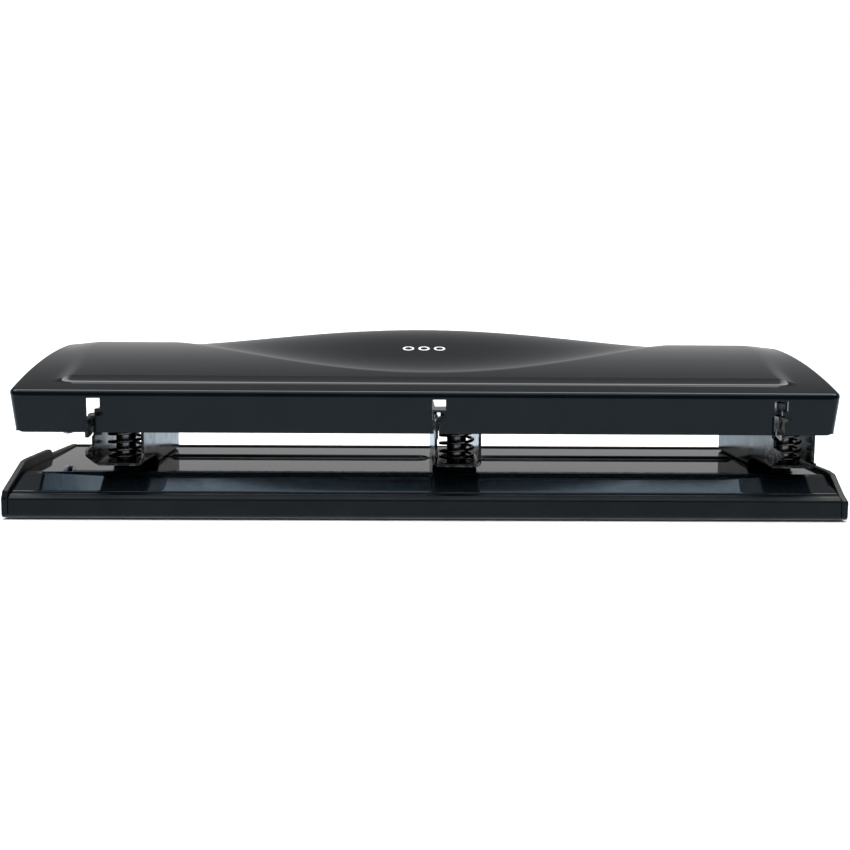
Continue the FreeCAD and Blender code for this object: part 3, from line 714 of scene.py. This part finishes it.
def rounded_plan(x, y):
    """Draws a plan point near a corner of the lid in, so that the corner is round.  Also gives
    the outward direction there."""
    half, front, back = LID_HALF - BEND, LID_FRONT + BEND, LID_BACK - BEND
    side_x, side_y = math.copysign(1, x), (1 if y > (front + back) / 2 else -1)
    centre_x = side_x * (half - CORNER)
    centre_y = back - CORNER if side_y > 0 else front + CORNER
    a, b = (x - centre_x) * side_x / CORNER, (y - centre_y) * side_y / CORNER
    if a <= 0 or b <= 0:
        return x, y, ((side_x, 0) if a > b else (0, side_y))
    bent_a, bent_b = a * math.sqrt(1 - b * b / 2), b * math.sqrt(1 - a * a / 2)
    length = math.hypot(bent_a, bent_b)
    return (centre_x + side_x * CORNER * bent_a, centre_y + side_y * CORNER * bent_b,
            (side_x * bent_a / length, side_y * bent_b / length))


def skirt_bottom(x, y):
    """Where the skirt ends below a point of its outline."""
    if y > LID_BACK - CORNER - BEND:
        return BACK_BOTTOM
    corner = max(0.0, 1 - math.hypot(abs(x) - LID_HALF, y - LID_FRONT) / 3.4)
    if abs(x) < LID_HALF - CORNER - BEND or y < ROD_AT - 12:
        return SKIRT_BOTTOM + 2.2 * corner * corner
    if y < ROD_AT - EAR_RADIUS:
        return SKIRT_BOTTOM - (SKIRT_BOTTOM - ROD_HEIGHT) * (y - ROD_AT + 12) / 8
    if y < ROD_AT + EAR_RADIUS:
        return ROD_HEIGHT - math.sqrt(EAR_RADIUS ** 2 - (y - ROD_AT) ** 2)
    return BACK_BOTTOM


def skirt_point(x, y, z):
    """Leans the ends of the skirt in towards their lower edge."""
    lean = SKIRT_LEAN * min(max((SKIRT_TOP - z) / (SKIRT_TOP - SKIRT_BOTTOM), 0), 1)
    share = min(max((abs(x) - 118) / (LID_HALF - 118), 0), 1)
    return x - math.copysign(lean * share, x), y, z


def bend_and_skirt(point):
    """Points from one place on the lid's rim over the bend and down the skirt."""
    x, y, direction = rounded_plan(*point)
    out_x, out_y = x + BEND * direction[0], y + BEND * direction[1]
    start = Vector((x, y, lid_height(x, y)))
    corner = Vector((out_x, out_y, lid_height(out_x, out_y)))
    end = corner - Vector((0, 0, BEND))
    line = []
    for part in spread(0, 1, BEND_STEPS)[1:]:
        weights = ((1 - part) ** 2, 1.5 * part * (1 - part), part ** 2)
        line.append(tuple((start * weights[0] + corner * weights[1] + end * weights[2])
                          / sum(weights)))
    bottom = skirt_bottom(out_x, out_y)
    for level in SKIRT_LEVELS:
        share = (SKIRT_TOP - level) / (SKIRT_TOP - SKIRT_BOTTOM)
        line.append(skirt_point(out_x, out_y, end.z - share * (end.z - bottom)))
    return line


def in_slot(middle, low):
    """Whether a patch of the front skirt lies in the keyhole slot of one of the heads."""
    for head_x in HEADS.values():
        across = middle - (head_x - WALL_HALF)
        if WINDOW_LOW <= low < WINDOW_TOP and SLOT_LEFT < across < WINDOW_RIGHT:
            return True
        if SLOT_LOW <= low < WINDOW_LOW and SLOT_LEFT < across < SLOT_RIGHT:
            return True
        if low < SLOT_LOW and -SLIT_GAP < across < SHEET + SLIT_GAP:
            return True
    return False


def lid_shell():
    """The top as a grid, and round it a closed band for the bend and the skirts."""
    columns = lid_columns()
    plan = [[(x, y) for y in lid_rows(x)] for x in columns]
    top = [[(*rounded_plan(x, y)[:2], lid_height(*rounded_plan(x, y)[:2])) for x, y in line]
           for line in plan]
    points, faces = grid(top)
    wide, deep = len(columns), len(plan[0])
    rim = [(i, 0) for i in range(wide)] + [(wide - 1, j) for j in range(1, deep)]
    rim += [(i, deep - 1) for i in range(wide - 2, -1, -1)]
    rim += [(0, j) for j in range(deep - 2, 0, -1)]

    def kept(level, first, second):
        """False inside a keyhole slot of the front skirt."""
        if first[1] != 0 or second[1] != 0 or level < BEND_STEPS + 1:
            return True
        middle = (columns[first[0]] + columns[second[0]]) / 2
        return not in_slot(middle, SKIRT_LEVELS[level - BEND_STEPS])

    count = len(rim)
    below = [bend_and_skirt(plan[i][j]) for i, j in rim]
    levels = len(below[0])
    first = len(points)
    for line in below:
        points += line
    for step in range(count):
        following = (step + 1) % count
        here, there = rim[step], rim[following]
        previous = (here[0] * deep + here[1], there[0] * deep + there[1])
        for level in range(levels):
            current = (first + step * levels + level, first + following * levels + level)
            if kept(level, here, there):
                faces.append((previous[0], previous[1], current[1], current[0]))
            previous = current
    return points, faces


def lever():
    lid = build("lever_pressing", [lid_shell()])
    face_up(lid)
    lid.data.materials.append(LID_ENAMEL)
    # the inner faces take the light inside colour, which the ramp below mirrors as a painted
    # reflection
    lid.data.materials.append(LID_INSIDE_LIGHT_FOR_REFLECTION)
    thicken(lid, LID_SHEET)
    lid.modifiers["sheet"].material_offset = 1
    bake(lid)
    lid.data.shade_smooth()
    soften(lid, 0.14, angle=60, segments=2)
    adopt(lid, "lever", "lid", LID_ENAMEL)


def press_bar():
    low, half, high = 37.9, 5.0, 40.6
    section = [(-half, low), (half, low), (half, high), (half - 1.2, high), (half - 1.2, low + 1.2),
               (1.2 - half, low + 1.2), (1.2 - half, high), (-half, high)]
    reach = LID_HALF - LID_SHEET - 0.2
    section = [(PIN_AT + y, z) for y, z in section]
    bar = build("press_bar_channel", [extruded(section, -reach, reach)])
    soften(bar, 0.3)
    adopt(bar, "press_bar", "lid", BARE_STEEL)


def press_pads():
    section = [(0, 36.4), (3.3, 36.4), (3.75, 36.55), (4.0, 36.9), (4.0, 37.9), (0, 37.9)]
    pads = build("press_pad_set", [turned(section, x, PIN_AT) for x in HEADS.values()])
    soften(pads, 0.1, angle=25)
    adopt(pads, "press_pads", "lid", NYLON)


def lid_mark():
    """A plain printed row of three rings, laid just on the enamel."""
    shells = []
    middle, at, radius, line_width, proud = -0.5, 50.0, 2.0, 0.75, 0.02
    for offset in (-5.4, 0.0, 5.4):
        inner, outer = [], []
        for angle in spread(0, 2 * math.pi, 48)[:-1]:
            for rim_points, reach in ((inner, radius - line_width), (outer, radius)):
                x = middle + offset + reach * math.cos(angle)
                y = at + reach * math.sin(angle)
                rim_points.append((x, y, lid_height(x, y) + proud))
        shells.append(grid([inner, outer], closed=True))
    rings = build("lid_mark", shells)
    face_up(rings)
    rings.data.materials.append(MARK_WHITE)
    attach(rings, "lid")


# ---------------------------------------------------------------- light and camera

def floor():
    mesh = bpy.data.meshes.new("table")
    reach = 6.0
    mesh.from_pydata([(-reach, -reach, 0), (reach, -reach, 0), (reach, reach, 0),
                      (-reach, reach, 0)], [], [(0, 1, 2, 3)])
    table = bpy.data.objects.new("table", mesh)
    bpy.context.scene.collection.objects.link(table)
    finish = Finish("table_white", ior=1.2)
    finish.colour(finish.mixed(finish.noise(300), (0.9, 0.9, 0.9), (0.92, 0.92, 0.92)))
    finish.roughness(finish.scaled(finish.noise(50), 0.8, 0.9))
    mesh.materials.append(finish.material)
    table.visible_glossy = False


def ramp(nodes, links, value, stops):
    """A colour ramp of (sine of the height angle, brightness) stops, cooler below the horizon."""
    node = nodes.new("ShaderNodeValToRGB")
    stops = list(stops)
    while len(node.color_ramp.elements) < len(stops):
        node.color_ramp.elements.new(0.5)
    for element, (position, brightness) in zip(node.color_ramp.elements, stops):
        element.position = (position + 1) / 2
        tint = COOL if position < 0 else (1, 1, 1)
        element.color = [brightness * part for part in tint] + [1]
    links.new(value, node.inputs["Fac"])
    return node.outputs["Color"]


def surroundings():
    """A studio: pale wall behind, dim room in front, a bright strip high behind the object.  The
    camera itself sees plain white."""
    world = bpy.data.worlds.new("studio")
    bpy.context.scene.world = world
    world.use_nodes = True
    nodes, links = world.node_tree.nodes, world.node_tree.links
    background = nodes["Background"]
    direction = nodes.new("ShaderNodeTexCoord").outputs["Generated"]
    split = nodes.new("ShaderNodeSeparateXYZ")
    links.new(direction, split.inputs["Vector"])
    height = nodes.new("ShaderNodeMapRange")
    height.inputs["From Min"].default_value = -1.0
    links.new(split.outputs["Z"], height.inputs["Value"])
    behind = ramp(nodes, links, height.outputs["Result"], BEHIND)
    before = ramp(nodes, links, height.outputs["Result"], BEFORE)
    side = nodes.new("ShaderNodeMapRange")
    side.interpolation_type = "SMOOTHSTEP"
    side.inputs["From Min"].default_value = -0.3
    side.inputs["From Max"].default_value = 0.3
    links.new(split.outputs["Y"], side.inputs["Value"])
    room = nodes.new("ShaderNodeMix")
    room.data_type = "RGBA"
    links.new(side.outputs["Result"], room.inputs["Factor"])
    links.new(before, room.inputs[6])
    links.new(behind, room.inputs[7])
    seen = nodes.new("ShaderNodeMix")
    seen.data_type = "RGBA"
    links.new(nodes.new("ShaderNodeLightPath").outputs["Is Camera Ray"], seen.inputs["Factor"])
    links.new(room.outputs[2], seen.inputs[6])
    seen.inputs[7].default_value = (1, 1, 1, 1)
    links.new(seen.outputs[2], background.inputs["Color"])


# a slight tint for light from below the horizon, then brightness by the sine of the height angle
COOL = (0.86, 1.0, 1.12)
BEHIND = ((-1.0, 0.9), (-0.5, 1.4), (-0.06, 1.4), (0.0, 0.6), (0.14, 0.46), (0.22, 0.41),
          (0.35, 0.33), (0.55, 0.22), (0.74, 0.2), (0.78, 4.5), (0.89, 4.5), (0.92, 1.1),
          (1.0, 1.1))
BEFORE = ((-1.0, 0.55), (-0.3, 0.72), (-0.06, 0.66), (0.0, 0.02), (0.86, 0.03), (0.93, 1.0),
          (1.0, 1.1))


def top_light():
    """A broad light from above for the table and the matt surfaces only."""
    light = bpy.data.lights.new("overhead", "SUN")
    light.energy = 3.6
    light.angle = math.radians(70)
    lamp = bpy.data.objects.new("overhead", light)
    lamp.visible_glossy = False
    lamp.rotation_euler = (math.radians(8), math.radians(-6), 0)
    bpy.context.scene.collection.objects.link(lamp)


def camera():
    """Stands in front of the middle, a little above the lid, looking slightly down."""
    data = bpy.data.cameras.new("camera")
    data.lens, data.sensor_width = 51.2, 36.0
    data.clip_start, data.clip_end = 0.05, 50
    yaw, pitch, roll = math.radians(1.16), math.radians(6.42), math.radians(0.4)
    view = bpy.data.objects.new("camera", data)
    aim = Matrix.Rotation(-yaw, 4, "Z") @ Matrix.Rotation(math.pi / 2 - pitch, 4, "X")
    view.matrix_world = (Matrix.Translation(Vector((-0.0085, -0.4122, 0.0719)))
                         @ aim @ Matrix.Rotation(roll, 4, "Z"))
    bpy.context.scene.collection.objects.link(view)
    bpy.context.scene.camera = view


def main():
    chip_tray()
    tray_pads()
    base_plate()
    frame_rivets()
    hinge_rod()
    rod_caps()
    for name, x in HEADS.items():
        for make in (head_frame, guide, die, pin, washer, ring, coil):
            make(name, x)
    lever()
    press_bar()
    press_pads()
    lid_mark()
    floor()
    surroundings()
    top_light()
    camera()
    bpy.context.scene.view_settings.view_transform = "Standard"


main()
